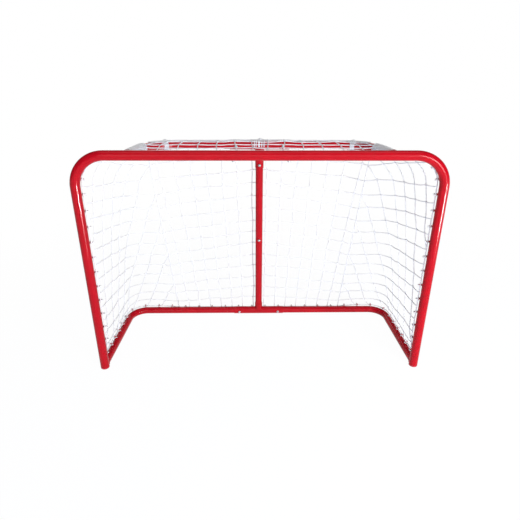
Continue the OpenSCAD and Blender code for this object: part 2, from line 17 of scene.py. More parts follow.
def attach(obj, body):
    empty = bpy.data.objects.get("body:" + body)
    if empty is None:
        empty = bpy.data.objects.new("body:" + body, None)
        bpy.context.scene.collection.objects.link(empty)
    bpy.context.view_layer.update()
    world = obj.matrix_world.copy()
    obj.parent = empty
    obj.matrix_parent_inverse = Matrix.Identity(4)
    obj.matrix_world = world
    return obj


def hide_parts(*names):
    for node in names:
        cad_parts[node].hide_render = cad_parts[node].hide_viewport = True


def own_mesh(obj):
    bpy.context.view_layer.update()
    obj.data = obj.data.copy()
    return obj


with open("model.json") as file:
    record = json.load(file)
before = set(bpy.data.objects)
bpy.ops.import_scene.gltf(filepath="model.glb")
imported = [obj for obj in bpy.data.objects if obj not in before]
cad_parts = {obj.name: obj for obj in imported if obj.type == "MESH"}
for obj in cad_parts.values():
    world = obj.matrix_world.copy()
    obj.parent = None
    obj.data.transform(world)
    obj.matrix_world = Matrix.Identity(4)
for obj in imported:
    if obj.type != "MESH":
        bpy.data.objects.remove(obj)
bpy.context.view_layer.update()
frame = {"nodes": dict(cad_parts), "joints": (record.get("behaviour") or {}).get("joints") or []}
bpy.ops.object.select_all(action="DESELECT")

# %% [markdown]
# ## Camera
# A camera is a matrix: where it stands and which way its right, up and back point.  This one
# looks down on the goal from in front.  It is worked out from a pitch, a yaw and a little roll,
# because these are the angles a tripod's head turns.  The lens follows from the field of view.

# %% Place the camera
MM = 0.001
CAMERA_PLACE = Vector((-18.23, -966.94, 660.37)) * MM
PITCH, YAW, ROLL = 0.437, 0.02, 0.005
SENSOR = 36.0
FOCAL_PER_FRAME = 466.07 / 520    # focal length in widths of the square frame

ahead = Vector((
    math.sin(YAW) * math.cos(PITCH), math.cos(YAW) * math.cos(PITCH), -math.sin(PITCH)))
level = Vector((math.cos(YAW), -math.sin(YAW), 0))
upward = level.cross(ahead)
right = math.cos(ROLL) * level + math.sin(ROLL) * upward
upward = right.cross(ahead)
bpy.ops.object.camera_add(location=CAMERA_PLACE)
camera = bpy.context.object
camera.name = "camera"
camera.data.sensor_width = SENSOR
camera.data.lens = SENSOR * FOCAL_PER_FRAME
turn = Matrix((right, upward, -ahead)).transposed().to_4x4()
camera.matrix_world = Matrix.Translation(CAMERA_PLACE) @ turn
bpy.context.scene.camera = camera
bpy.context.scene.view_settings.view_transform = "Standard"
print("lens:", round(camera.data.lens, 2), "mm")

# %% [markdown]
# ## Nodes and colours
# Every material below is a small graph of nodes.  One function adds a node with its settings and
# its links, so that each graph reads as a short list.  Colours are written as sRGB hex, as in a
# paint chart, and turned to the linear values that a renderer adds and multiplies.

# %% Helpers for materials
def linear(hex_colour):
    """An sRGB hex colour as a linear colour with alpha."""
    values = [int(hex_colour[i:i + 2], 16) / 255 for i in (1, 3, 5)]
    return [v / 12.92 if v <= 0.04045 else ((v + 0.055) / 1.055) ** 2.4 for v in values] + [1]


def node(tree, kind, inputs=None, **settings):
    """Adds a shader node; an input is a value, a socket or a node, for its first output."""
    added = tree.nodes.new("ShaderNode" + kind)
    for name, value in settings.items():
        setattr(added, name, value)
    for name, value in (inputs or {}).items():
        if isinstance(value, bpy.types.Node):
            value = value.outputs[0]
        if isinstance(value, bpy.types.NodeSocket):
            tree.links.new(value, added.inputs[name])
        else:
            added.inputs[name].default_value = value
    return added


def new_material(name):
    """A material with an empty graph, and that graph."""
    material = bpy.data.materials.new(name)
    material.use_nodes = True
    material.node_tree.nodes.clear()
    return material, material.node_tree


def blended(tree, factor, first, second):
    """Colour output of a mix between two hex colours."""
    mixed = node(tree, "Mix", {0: factor, 6: linear(first), 7: linear(second)}, data_type="RGBA")
    return mixed.outputs[2]


def principled(tree, inputs):
    """Links a principled shader with these inputs to the material's output."""
    node(tree, "OutputMaterial", {"Surface": node(tree, "BsdfPrincipled", inputs)})


# %% [markdown]
# ## Studio
# The goal stands on a white sweep: a floor that curves up into a backdrop.  The floor is plain
# white paint.  Rays from the camera and from shiny surfaces see it as pure white, which is
# done with Light Path and not with stronger lamps.  Near the goal a share of the paint's own
# light stays in the mix, so the goal's soft shadow is kept; further out there is none to keep.

# %% The white sweep
FLOOR_HALF = 5.0
COVE_RADIUS, COVE_STEPS = 0.8, 12
BACKDROP_RISE = 1.2
SHADOW_NEAR, SHADOW_FAR = 0.55, 1.15    # m from the middle of the goal
NEAR_GLOW = 0.975

bpy.ops.mesh.primitive_plane_add(size=2 * FLOOR_HALF, location=(0, 0, 0))
floor = bpy.context.object
floor.name = "studio_floor"
bpy.ops.object.mode_set(mode="EDIT")
bpy.ops.mesh.select_all(action="DESELECT")
bpy.ops.object.mode_set(mode="OBJECT")
for edge in floor.data.edges:
    edge.select = all(floor.data.vertices[i].co.y > FLOOR_HALF - 0.01 for i in edge.vertices)
bpy.ops.object.mode_set(mode="EDIT")
bpy.ops.mesh.select_mode(type="EDGE")
bpy.ops.mesh.spin(steps=COVE_STEPS, angle=math.pi / 2,
                  center=(0, FLOOR_HALF, COVE_RADIUS), axis=(1, 0, 0))
bpy.ops.mesh.extrude_region_move(TRANSFORM_OT_translate={"value": (0, 0, BACKDROP_RISE)})
bpy.ops.object.mode_set(mode="OBJECT")
bpy.ops.object.shade_smooth()


# %% The sweep's paint
def sweep_paint():
    material, tree = new_material("white_sweep_paint")
    path = node(tree, "LightPath")
    seen = node(tree, "Math", {0: path.outputs["Is Camera Ray"], 1: path.outputs["Is Glossy Ray"]},
                operation="MAXIMUM")
    seen = node(tree, "Math", {0: seen, 1: path.outputs["Is Transmission Ray"]},
                operation="MAXIMUM")
    place = node(tree, "TexCoord").outputs["Object"]
    distance = node(tree, "VectorMath", {0: place}, operation="LENGTH").outputs["Value"]
    glow = node(tree, "MapRange", {"Value": distance, "To Min": NEAR_GLOW, "To Max": 1.0,
                                   "From Min": SHADOW_NEAR, "From Max": SHADOW_FAR})
    share = node(tree, "Math", {0: seen, 1: glow}, operation="MULTIPLY")
    paint = node(tree, "BsdfDiffuse", {"Color": linear("#E4EBFF")})
    white = node(tree, "Emission", {"Color": linear("#FFFFFF"), "Strength": 1.0})
    both = node(tree, "MixShader", {0: share, 1: paint, 2: white})
    node(tree, "OutputMaterial", {"Surface": both})
    return material


floor.data.materials.append(sweep_paint())
print("sweep faces:", len(floor.data.polygons))

# %% [markdown]
# ## Light
# A painted round tube shows its shape by the streaks that lamps draw along it, and by how its
# edges darken away from the light.  A broad soft box behind the camera lights the tubes from
# the front, others overhead and behind light the floor and the net, and the room itself stays
# dim, so that the edges of the tubes go darker.  The camera looks down, so a post mirrors what is
# low: the streak down each post comes from a small box near the floor that faces that post.  The
# small boxes light nothing diffusely, or they would brighten the foot of the post as well.

# %% Soft boxes
STREAK_SPREAD = math.radians(50)
LAMPS = [
    # name, place and aim (m), width and height (m), watts
    ("front_box", (0.1, -2.5, 0.95), (0, 0, 0.22), 2.6, 1.5, 27),
    ("key_box", (1.25, -1.75, 0.5), (0, 0, 0.22), 0.6, 0.7, 34),
    ("top_box", (0.1, -0.3, 2.4), (0, 0, 0), 2.2, 1.8, 16),
    ("back_box", (-0.3, 2.4, 1.0), (0, 0, 0.25), 2.0, 1.2, 14),
    ("left_streak_box", (0.206, -0.548, 0.215), (-0.346, -0.1175, 0.3), 0.13, 0.12, 1.1),
    ("left_haze_box", (0.206, -0.548, 0.07), (-0.346, -0.1175, 0.2), 0.24, 0.12, 0.15),
    ("right_streak_box", (0.805, -0.646, 0.155), (0.346, -0.1175, 0.25), 0.16, 0.19, 1.45),
]
for name, place, aim, width, height, watts in LAMPS:
    bpy.ops.object.light_add(type="AREA", location=place)
    lamp = bpy.context.object
    lamp.name = name
    lamp.data.shape = "RECTANGLE"
    lamp.data.size, lamp.data.size_y = width, height
    lamp.data.energy = watts
    if name.endswith("streak_box") or name.endswith("haze_box"):
        lamp.data.spread = STREAK_SPREAD
        lamp.visible_diffuse = False
    lamp.rotation_euler = (Vector(aim) - Vector(place)).to_track_quat("-Z", "Y").to_euler()
    lamp.visible_camera = False
print("lamps:", len(LAMPS))

# %% The room: dim for the lamps' sake, and white where the camera looks past the sweep
world = bpy.data.worlds.new("room")
bpy.context.scene.world = world
world.use_nodes = True
room_tree = world.node_tree
room_tree.nodes.clear()
room = node(room_tree, "Background", {"Color": linear("#EEF2FC"), "Strength": 0.14})
wall = node(room_tree, "Background", {"Color": linear("#FFFFFF"), "Strength": 1.0})
camera_ray = node(room_tree, "LightPath").outputs["Is Camera Ray"]
both = node(room_tree, "MixShader", {0: camera_ray, 1: room, 2: wall})
node(room_tree, "OutputWorld", {"Surface": both})

# %% [markdown]
# ## Red enamel on steel
# The tubes are mild steel with baked gloss enamel.  Enamel is a plastic film over a primer: not
# metallic, IOR about 1.5 and glossy, which Blender's default IOR already says.  The specular level
# is turned down, because in a white studio the mirrored floor would veil the red.  There is a
# faint orange peel from the spray gun about 2 mm across, and small differences in thickness show
# as a slightly deeper red.

# %% Enamel
def red_enamel():
    material, tree = new_material("baked_red_enamel")
    place = node(tree, "TexCoord").outputs["Object"]
    patches = node(tree, "TexNoise",
                   {"Vector": place, "Scale": 22.0, "Detail": 3.0, "Roughness": 0.5})
    peel = node(tree, "TexNoise",
                {"Vector": place, "Scale": 480.0, "Detail": 2.0, "Roughness": 0.45})
    colour = blended(tree, patches, "#A60717", "#B70A1C")
    rough = node(tree, "MapRange", {"Value": patches, "To Min": 0.1, "To Max": 0.16})
    bump = node(tree, "Bump", {"Strength": 0.12, "Distance": 0.0003, "Height": peel})
    principled(tree, {"Base Color": colour, "Roughness": rough, "Normal": bump,
                      "Specular IOR Level": 0.15})
    return material


enamel = red_enamel()

# %% [markdown]
# ## Moulded plastic, plated steel, spring steel
# The foot caps are injection-moulded polyethylene, softer in shine than the enamel, with the
# fine grain of a spark-eroded mould.  The snap buttons are zinc-plated steel: a metal, bright,
# with a slight haze.  The springs behind them are blued strip, darker and drawn along its length.

# %% Plastic and metals
def moulded_plastic():
    material, tree = new_material("moulded_red_polyethylene")
    place = node(tree, "TexCoord").outputs["Object"]
    grain = node(tree, "TexNoise", {"Vector": place, "Scale": 900.0, "Detail": 2.0})
    flow = node(tree, "TexNoise", {"Vector": place, "Scale": 60.0})
    colour = blended(tree, flow, "#B01226", "#C01C30")
    bump = node(tree, "Bump", {"Strength": 0.25, "Distance": 0.0002, "Height": grain})
    principled(tree, {"Base Color": colour, "Roughness": 0.48, "Normal": bump,
                      "Specular IOR Level": 0.4})
    return material


def metal(name, dark, light, rough_low, rough_high, stretch):
    """Metal with a haze that is stretched along X by the given factor."""
    material, tree = new_material(name)
    place = node(tree, "TexCoord").outputs["Object"]
    drawn = node(tree, "Mapping", {"Vector": place, "Scale": (1 / stretch, 1, 1)})
    haze = node(tree, "TexNoise", {"Vector": drawn, "Scale": 700.0, "Detail": 4.0})
    colour = blended(tree, haze, dark, light)
    rough = node(tree, "MapRange", {"Value": haze, "To Min": rough_low, "To Max": rough_high})
    bump = node(tree, "Bump", {"Strength": 0.1, "Distance": 0.0001, "Height": haze})
    principled(tree, {"Base Color": colour, "Roughness": rough, "Normal": bump, "Metallic": 1.0})
    return material


cap_plastic = moulded_plastic()
plated_steel = metal("zinc_plated_steel", "#9EA2A8", "#C4C8CE", 0.24, 0.36, 1)
spring_strip = metal("blued_spring_strip", "#6C7078", "#8D9199", 0.28, 0.42, 12)

# %% [markdown]
# ## Net cord
# The net is knotted from twisted white polyester, three strands laid together, 1.9 mm thick in
# the meshes and 2.5 mm along the borders.  One full twist takes about 8 mm.  The cords below carry
# a UV map of their own, with the length in metres along the cord and one turn round it, so a sine
# of both draws the lay of the strands.  The grooves between the strands are painted a little grey:
# painted shade, which a noise makes deeper or lighter in patches.

# %% Cord
LAY = 0.008    # m of cord for one full twist
STRANDS = 3
FUZZ_SHARE = 0.35


def net_cord():
    material, tree = new_material("twisted_white_polyester")
    place = node(tree, "TexCoord")
    run = node(tree, "SeparateXYZ", {0: place.outputs["UV"]})
    along = node(tree, "Math", {0: run.outputs[0], 1: LAY}, operation="DIVIDE")
    phase = node(tree, "Math", {0: along, 1: run.outputs[1]}, operation="ADD")
    angle = node(tree, "Math", {0: phase, 1: 2 * math.pi * STRANDS}, operation="MULTIPLY")
    wave = node(tree, "Math", {0: angle}, operation="SINE")
    strand = node(tree, "MapRange", {"Value": wave, "From Min": -1.0, "From Max": 1.0})
    fuzz = node(tree, "TexNoise",
                {"Vector": place.outputs["Object"], "Scale": 1500.0, "Detail": 2.0})
    # painted shade: the grooves between the strands get a grey, and this noise makes it deeper or
    # lighter in patches
    groove_shade_patches = node(tree, "TexNoise",
                {"Vector": place.outputs["Object"], "Scale": 40.0, "Detail": 3.0})
    groove_shade = blended(tree, groove_shade_patches, "#DDDFE2", "#E8EAED")
    # the strands' crests stay white and the grooves take the painted shade
    strand_shade_mix = node(tree, "Mix", {0: strand, 6: groove_shade, 7: linear("#F8F8F8")}, data_type="RGBA")
    height = node(tree, "Math", {0: fuzz, 1: FUZZ_SHARE, 2: strand}, operation="MULTIPLY_ADD")
    bump = node(tree, "Bump", {"Strength": 0.6, "Distance": 0.0004, "Height": height})
    principled(tree, {"Base Color": strand_shade_mix.outputs[2], "Roughness": 0.72, "Normal": bump,
                      "Specular IOR Level": 0.3, "Sheen Weight": 0.15})
    return material


cord_material = net_cord()

# %% [markdown]
# ## Finish the CAD nodes
# A CAD node keeps its shape; only its material slot is filled.  The nodes are named for what they
# are, so the end of a node's name says which finish it gets, and what has no entry is enamelled.

# %% Give every CAD node its material
FINISHES = {
    "button": plated_steel, "spring": spring_strip, "cap": cap_plastic, "net": cord_material,
}

for name, piece in frame["nodes"].items():
    piece.data.materials.clear()
    piece.data.materials.append(FINISHES.get(name.rsplit("_", 1)[-1], enamel))
print("finished:", len(frame["nodes"]))

# %% [markdown]
# ## Springs replaced by leaves
# A snap button sits on the upper leg of a folded leaf spring inside its tube, and pressing the
# button bends that leg towards the tube's far wall.  Here each spring's CAD node is hidden and
# replaced by a leaf, a copy of the same mesh that rides on the root.

# %% Replace each spring with a leaf
for joint in frame["joints"]:
    rigid = joint["name"].replace("_press", "_spring")
    leaf = bpy.data.objects.new(rigid + "_leaf", frame["nodes"][rigid].data.copy())
    bpy.context.scene.collection.objects.link(leaf)
    axis = Vector(joint["axis"]).normalized()
    points = [v.co for v in leaf.data.vertices]
    wall = max(points, key=axis.dot)
    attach(leaf, "root")
    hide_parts(rigid)
    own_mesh(leaf)

# %% [markdown]
# ## Where the net is held
# The net's edges run along the tubes, so the tubes' centre lines are needed as paths.  Each path
# takes a length in millimetres from its start and gives the centre and a direction, out of the
# goal or into it.  They describe the right half; the left half is its mirror image.  The sizes
# are the CAD model's own.

# %% Sizes of the frame, in millimetres
POST_X, FRONT_Y, BAR_Z = 346.0, -117.5, 473.5
CORNER_R, MAIN_R = 60.0, 9.5
REAR_R, TEE_R = 8.5, 9.5
SHELF_Y, SHELF_Z, SHELF_HALF, SHELF_BEND = 61.5, 457.0, 245.0, 80.0
BASE_Y, BASE_Z, BASE_BEND = 111.403, 9.5, 42.0
TOE_IN = math.radians(3.2658)
TEE_HALF, TEE_STEP = 65.0, 6.0
FOLD_HALF = 214.0    # from the middle of the base bar to the net's rear fold

# a held cord's height over its tube and distance from its hook's shank
HOOK_HOLD, HELD_SIDE = 2.9, 3.5
CORD_R, BORDER_R, BORDER_SIDES = 0.95, 1.25, 8
# how far the CAD model's lattice lies off the shelf's tube, on the straight and on the bend
LATTICE_LIFT, LATTICE_BEND_LIFT = 2.0, 5.2

ACROSS, BACK, UP = Vector((1, 0, 0)), Vector((0, 1, 0)), Vector((0, 0, 1))


def mix(a, b, t):
    return a + (b - a) * t


def clamp(t):
    return min(1.0, max(0.0, t))


def tilt_up(angle, out):
    """The direction out, raised by an angle in degrees."""
    return out * math.cos(math.radians(angle)) + UP * math.sin(math.radians(angle))


def keep(p):
    """The right half's place for a point of the right half."""
    return p


def flip(p):
    """The left half's place for a point of the right half."""
    return Vector((-p.x, p.y, p.z))


# %% The front path: up the post, round the corner, along the crossbar
POST_RUN = BAR_Z - CORNER_R
CORNER_RUN = CORNER_R * math.pi / 2
POST_LEAN, FOOT_LEAN, FOOT_RUN = 45, -30, 80


def front_path(s):
    """Centre and inward direction at length s from the floor."""
    if s < POST_RUN:
        return Vector((POST_X, FRONT_Y, s)), Vector((-1, 0, 0))
    if s < POST_RUN + CORNER_RUN:
        a = (s - POST_RUN) / CORNER_R
        inward = Vector((-math.cos(a), 0, -math.sin(a)))
        return Vector((POST_X - CORNER_R, FRONT_Y, POST_RUN)) - inward * CORNER_R, inward
    x = POST_X - CORNER_R - (s - POST_RUN - CORNER_RUN)
    return Vector((x, FRONT_Y, BAR_Z)), Vector((0, 0, -1))


def front_frame(s):
    """Directions of a hook's shank and tip at length s."""
    lean = POST_LEAN * (1 - clamp((s - POST_RUN) / CORNER_RUN))
    if s < FOOT_RUN:
        lean = mix(FOOT_LEAN, POST_LEAN, max(0, s) / FOOT_RUN)
    lean = math.radians(lean)
    inward = front_path(s)[1]
    shank = inward * math.sin(lean) + BACK * math.cos(lean)
    return shank, inward * math.cos(lean) - BACK * math.sin(lean)


def front_cord(s):
    """Centre of the border cord held by the front hooks."""
    shank, tip = front_frame(s)
    return front_path(s)[0] + shank * (MAIN_R + HOOK_HOLD) + tip * HELD_SIDE


# %% The shelf path: back along the side tube, round the bend, to the middle
SHELF_LEN = math.hypot(SHELF_Y - FRONT_Y, BAR_Z - SHELF_Z)
SHELF_TILT = math.atan2(BAR_Z - SHELF_Z, SHELF_Y - FRONT_Y)
SHELF_SIDE = SHELF_LEN - SHELF_BEND
SHELF_ARC = SHELF_BEND * math.pi / 2
SHELF_MID = SHELF_SIDE + SHELF_ARC + SHELF_HALF - SHELF_BEND


def on_shelf(x, y):
    """A point of the tilted shelf plane, y from the crossbar's centre line."""
    return Vector((x, FRONT_Y + y * math.cos(SHELF_TILT), BAR_Z - y * math.sin(SHELF_TILT)))


def shelf_path(s):
    """Centre and outward direction at length s from the crossbar's centre line."""
    if s < SHELF_SIDE:
        return on_shelf(SHELF_HALF, s), Vector((1, 0, 0))
    if s < SHELF_SIDE + SHELF_ARC:
        a = (s - SHELF_SIDE) / SHELF_BEND
        x = SHELF_HALF - SHELF_BEND + SHELF_BEND * math.cos(a)
        y = SHELF_SIDE + SHELF_BEND * math.sin(a)
        return on_shelf(x, y), Vector((math.cos(a), math.sin(a), 0))
    return on_shelf(SHELF_MID - s, SHELF_LEN), Vector((0, 1, 0))


def shelf_wrap(s, angle, lift=CORD_R):
    """Cord lying on the shelf's tube, at an angle from straight out."""
    centre, out = shelf_path(s)
    on_tee = clamp((s - (SHELF_MID - TEE_HALF - TEE_STEP)) / TEE_STEP)
    return centre + tilt_up(angle, out) * (mix(REAR_R, TEE_R, on_tee) + lift)


# %% The base path: back from the post, round the bend, to the middle
BASE_HALF = POST_X - (BASE_Y - FRONT_Y) * math.tan(TOE_IN)
BASE_TURN = math.pi / 2 - TOE_IN
BASE_TANGENT = BASE_BEND * math.tan(BASE_TURN / 2)
BASE_SIDE = (BASE_Y - FRONT_Y) / math.cos(TOE_IN) - BASE_TANGENT
BASE_ARC = BASE_BEND * BASE_TURN
BASE_MID = BASE_SIDE + BASE_ARC + BASE_HALF - BASE_TANGENT
BASE_FOLD = BASE_MID - FOLD_HALF
BASE_BACK = Vector((-math.sin(TOE_IN), math.cos(TOE_IN), 0))
BASE_OUT = Vector((math.cos(TOE_IN), math.sin(TOE_IN), 0))
SIDE_RISE, REAR_RISE, PAST_BEND = 81, 30, 20


def base_path(s):
    """Centre and outward direction at length s from the post's centre line."""
    start = Vector((POST_X, FRONT_Y, BASE_Z))
    if s < BASE_SIDE:
        return start + BASE_BACK * s, BASE_OUT
    if s < BASE_SIDE + BASE_ARC:
        a = TOE_IN + (s - BASE_SIDE) / BASE_BEND
        out = Vector((math.cos(a), math.sin(a), 0))
        return start + BASE_BACK * BASE_SIDE + (out - BASE_OUT) * BASE_BEND, out
    return Vector((BASE_MID - s, BASE_Y, BASE_Z)), Vector((0, 1, 0))


def base_frame(s):
    """Directions of a hook's shank and tip at length s."""
    bent = BASE_SIDE + BASE_ARC + PAST_BEND
    rise = mix(SIDE_RISE, REAR_RISE, clamp((s - bent) / (BASE_FOLD - bent)))
    out = base_path(s)[1]
    return tilt_up(rise, out), tilt_up(rise - 90, out)


def base_cord(s):
    """Centre of the border cord held by the base hooks."""
    shank, tip = base_frame(s)
    return base_path(s)[0] + shank * (REAR_R + HOOK_HOLD) + tip * HELD_SIDE


print("runs:", round(POST_RUN + CORNER_RUN), round(SHELF_MID), round(BASE_MID), "mm")

# %% [markdown]
# ## Net surfaces
# A hung net is a surface held by its four edges.  A Coons patch fills four edge curves
# smoothly: it adds the two ways of blending between opposite edges and takes off the corners
# that were counted twice.  Each net below is such a patch, u across it and v up it.  The rows
# droop towards the two rear folds, where the net hangs slack.

# %% Points along an edge
def along_edge(edge, steps):
    """Evenly spaced points of an edge, a function of a number from 0 to 1."""
    return [edge(i / steps) for i in range(steps + 1)]


# %% The side and back surfaces
ROWS, CORNER_ROWS = 14, 2
EDGE_START = MAIN_R + HOOK_HOLD
FOLD_TURN = 33     # degrees round the shelf's bend where the fold begins
SHELF_FOLD = SHELF_SIDE + SHELF_ARC * FOLD_TURN / 90
DROOP = 24         # mm that a row hangs low at the fold
RISE = 1.25        # how much of that the back net's middle is pulled up again
WRAP = 5           # degrees above straight out where the net meets the shelf's tube
EDGE_FADE = 8      # power that keeps an edge's correction beside its corner

FRONT_START = base_cord(EDGE_START).z
FRONT_END = (POST_RUN + CORNER_RUN + POST_X - CORNER_R
             - shelf_wrap(EDGE_START, WRAP, LATTICE_LIFT).x)
ROW_PITCH = (shelf_wrap(SHELF_FOLD, WRAP, LATTICE_BEND_LIFT) - base_cord(BASE_FOLD)).length / ROWS


def coons(b, t, f, r, u, v, corners):
    """Point (u, v) of the patch with edge points b, t, f, r and its four corners."""
    blend = b * (1 - v) + t * v + f * (1 - u) + r * u
    blend -= corners[0] * ((1 - u) * (1 - v)) + corners[1] * (u * (1 - v))
    return blend - corners[2] * ((1 - u) * v) - corners[3] * (u * v)


def fall(v):
    """How far a row has dropped at the fold, in millimetres."""
    return DROOP * math.sqrt(max(0, math.sin(math.pi * clamp(v))))


def front_length(v):
    """Length along the front path at row v; the last rows share the corner."""
    low = ROWS - CORNER_ROWS
    if v * ROWS < low:
        return FRONT_START + v * ROWS * ROW_PITCH
    return mix(FRONT_START + low * ROW_PITCH, FRONT_END, (v * ROWS - low) / CORNER_ROWS)


def side_bottom(u):
    return base_cord(mix(EDGE_START, BASE_FOLD, u))


def side_top(u):
    return shelf_wrap(mix(EDGE_START, SHELF_FOLD, u), WRAP)


def side_front(v):
    low = clamp(1 - v * ROWS) ** EDGE_FADE
    high = clamp(1 - (1 - v) * ROWS) ** EDGE_FADE
    return (front_cord(front_length(v)) + low * (side_bottom(0) - front_cord(FRONT_START))
            + high * (side_top(0) - front_cord(FRONT_END)))


def fold_line(v):
    """Where the side net turns into the back net."""
    return mix(side_bottom(1), side_top(1), clamp(v - fall(v) / ROW_PITCH / ROWS))


def side_surface(u, v):
    corners = (side_bottom(0), side_bottom(1), side_top(0), side_top(1))
    return coons(side_bottom(u), side_top(u), side_front(v), fold_line(v), u, v, corners)


def mirrored(half, u):
    """half(h) is an edge's right half, h from the middle; u runs from left to right."""
    return flip(half(1 - 2 * u)) if u < 0.5 else half(2 * u - 1)


def back_bottom(u):
    return mirrored(lambda h: base_cord(mix(BASE_MID, BASE_FOLD, h)), u)


def back_top(u):
    return mirrored(lambda h: shelf_wrap(mix(SHELF_MID, SHELF_FOLD, h), WRAP), u)


def back_surface(u, v):
    edge = fold_line(v)
    corners = (back_bottom(0), back_bottom(1), back_top(0), back_top(1))
    point = coons(back_bottom(u), back_top(u), flip(edge), edge, u, v, corners)
    rise = (back_top(0.5) - back_bottom(0.5)).normalized()
    return point + rise * (RISE * fall(v) * (1 - abs(2 * u - 1)))


# %% The top surface, from the crossbar to the shelf bar
TOP_CORNER = SHELF_SIDE + SHELF_ARC / 2
SIDE_WRAP, REAR_WRAP = 130, 100
FRONT_FLATNESS = 12


def on_top(s):
    """Cord lying on top of the shelf's tube, a little inside the goal."""
    return shelf_wrap(s, mix(SIDE_WRAP, REAR_WRAP, clamp((s - SHELF_SIDE) / SHELF_ARC)))


def top_edge(v):
    return on_top(mix(EDGE_START, TOP_CORNER, v))


def top_rear(u):
    return mirrored(lambda h: on_top(mix(SHELF_MID, TOP_CORNER, h)), u)


def top_front(u):
    end = top_edge(0)
    z = mix(BAR_Z - HELD_SIDE, end.z, abs(2 * u - 1) ** FRONT_FLATNESS)
    return Vector(((2 * u - 1) * end.x, FRONT_Y + EDGE_START, z))


def top_surface(u, v):
    corners = (top_front(0), top_front(1), top_rear(0), top_rear(1))
    edge = top_edge(v)
    return coons(top_front(u), top_rear(u), flip(edge), edge, u, v, corners)


# %% [markdown]
# ## Cords as swept tubes
# A cord is a round tube swept along a line of points.  A curve object with a bevel would do the
# same, but it gives no UV in real lengths, and the twist of the strands needs one.  So the rings
# are laid one by one: each ring stands square to the line, and its start is carried over from the
# ring before, so that the tube doesn't twist by itself.

# %% A bundle of cords, collected and then made one mesh
class Bundle:
    """Vertices, faces and UV corners of many cords and knots, in millimetres."""

    def __init__(self):
        self.points, self.faces, self.corners = [], [], []

    def cord(self, line, radius, sides=6, closed=False):
        """Adds a tube along a line; radius is a number or a function of the ring's index."""
        count, first = len(line), len(self.points)
        normal, length = None, 0.0
        lengths = []
        for i, p in enumerate(line):
            before = line[i - 1] if i or closed else p
            after = line[(i + 1) % count] if i < count - 1 or closed else p
            tangent = (after - before).normalized()
            if normal is None:
                normal = tangent.orthogonal()
            normal = (normal - tangent * normal.dot(tangent)).normalized()
            side = tangent.cross(normal)
            r = radius(i) if callable(radius) else radius
            for k in range(sides):
                a = 2 * math.pi * k / sides
                self.points.append(p + (normal * math.cos(a) + side * math.sin(a)) * r)
            length += (p - line[i - 1]).length if i else 0
            lengths.append(length * MM)
        rings = count if closed else count - 1
        for i in range(rings):
            a, b = first + i * sides, first + (i + 1) % count * sides
            end = lengths[i + 1] if i + 1 < count else length * MM + 0.001
            for k in range(sides):
                n = (k + 1) % sides
                self.faces.append((a + k, a + n, b + n, b + k))
                low, high = k / sides, (k + 1) / sides
                self.corners += [(lengths[i], low), (lengths[i], high), (end, high), (end, low)]
        if not closed:
            for start, order in ((first, range(sides - 1, -1, -1)),
                                 (first + (count - 1) * sides, range(sides))):
                self.faces.append(tuple(start + k for k in order))
                self.corners += [(0.0, k / sides) for k in order]

    def stamp(self, shape, place):
        """Adds a copy of a shape, a list of points and faces, under a matrix."""
        first = len(self.points)
        points, faces, corners = shape
        self.points += [place @ p for p in points]
        self.faces += [tuple(first + i for i in face) for face in faces]
        self.corners += corners

    def piece(self, name, nodes=(), material=cord_material, slot="net_cord"):
        """Makes the mesh with its material, rides it on the root and hides the CAD nodes it stands
        for; slot is not used.
        """
        mesh = bpy.data.meshes.new(name)
        mesh.from_pydata([p * MM for p in self.points], [], self.faces)
        layer = mesh.uv_layers.new(name="cord_run")
        for i, uv in enumerate(self.corners):
            layer.data[i].uv = uv
        mesh.materials.append(material)
        made = bpy.data.objects.new(name, mesh)
        bpy.context.scene.collection.objects.link(made)
        bpy.ops.object.select_all(action="DESELECT")
        made.select_set(True)
        bpy.context.view_layer.objects.active = made
        bpy.ops.object.shade_smooth()
        bpy.ops.object.select_all(action="DESELECT")
        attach(made, "root")
        if nodes:
            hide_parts(*nodes)
        print(name, "faces:", len(self.faces))
        return made


# %% [markdown]
# ## One knot
# Where two cords cross, the net is tied: one cord makes a loop round the other.  Seen from a
# step away that is a small lump with two crossing bights.  It is modelled once, from two small
# rings turned against each other and pinched, and copied to every crossing.  It repeats hundreds
# of times, so it has only a few dozen faces.

# %% Model the knot once
RING_TURN, RING_TIP = 0.75, 0.35
PINCH = (1.15, 0.72, 0.9)
KNOT_ROUND = 6    # mm of knot that one turn of the cord's UV covers


def model_knot():
    """Points, faces and UV corners of a knot, in millimetres, lying in the XY plane."""
    rings = []
    for lean in (RING_TURN, -RING_TURN):
        bpy.ops.mesh.primitive_torus_add(
            major_segments=7, minor_segments=4, major_radius=1.9, minor_radius=1.05,
            rotation=(RING_TIP * lean, 0, lean))
        rings.append(bpy.context.object)
        bpy.ops.object.mode_set(mode="EDIT")
        bpy.ops.mesh.select_all(action="SELECT")
        bpy.ops.transform.resize(value=PINCH, orient_type="LOCAL", center_override=(0, 0, 0))
        bpy.ops.object.mode_set(mode="OBJECT")
        bpy.ops.object.transform_apply(location=True, rotation=True, scale=True)
    for ring in rings:
        ring.select_set(True)
    bpy.context.view_layer.objects.active = rings[0]
    bpy.ops.object.join()
    mesh = rings[0].data
    points = [v.co.copy() for v in mesh.vertices]
    faces = [tuple(f.vertices) for f in mesh.polygons]
    corners = [(mesh.vertices[i].co.x * MM, mesh.vertices[i].co.y / KNOT_ROUND)
               for f in mesh.polygons for i in f.vertices]
    bpy.ops.object.delete()
    return points, faces, corners


def standing(spot, across, normal):
    """Matrix that lays a shape's X and Z along two directions, at a spot."""
    axes = Matrix((across, normal.cross(across), normal)).transposed()
    return Matrix.Translation(spot) @ axes.to_4x4()


KNOT = model_knot()
print("knot faces:", len(KNOT[1]))

# %% [markdown]
# ## Weave a net on its surface
# A net is rows and columns of cord that meet at knots.  Each knot sits at a place (u, v) of the
# surface, a millimetre or so out of line, because hand-hung meshes are never square.  A row
# runs through its knots from edge to edge and sags between them; a column climbs through its own.

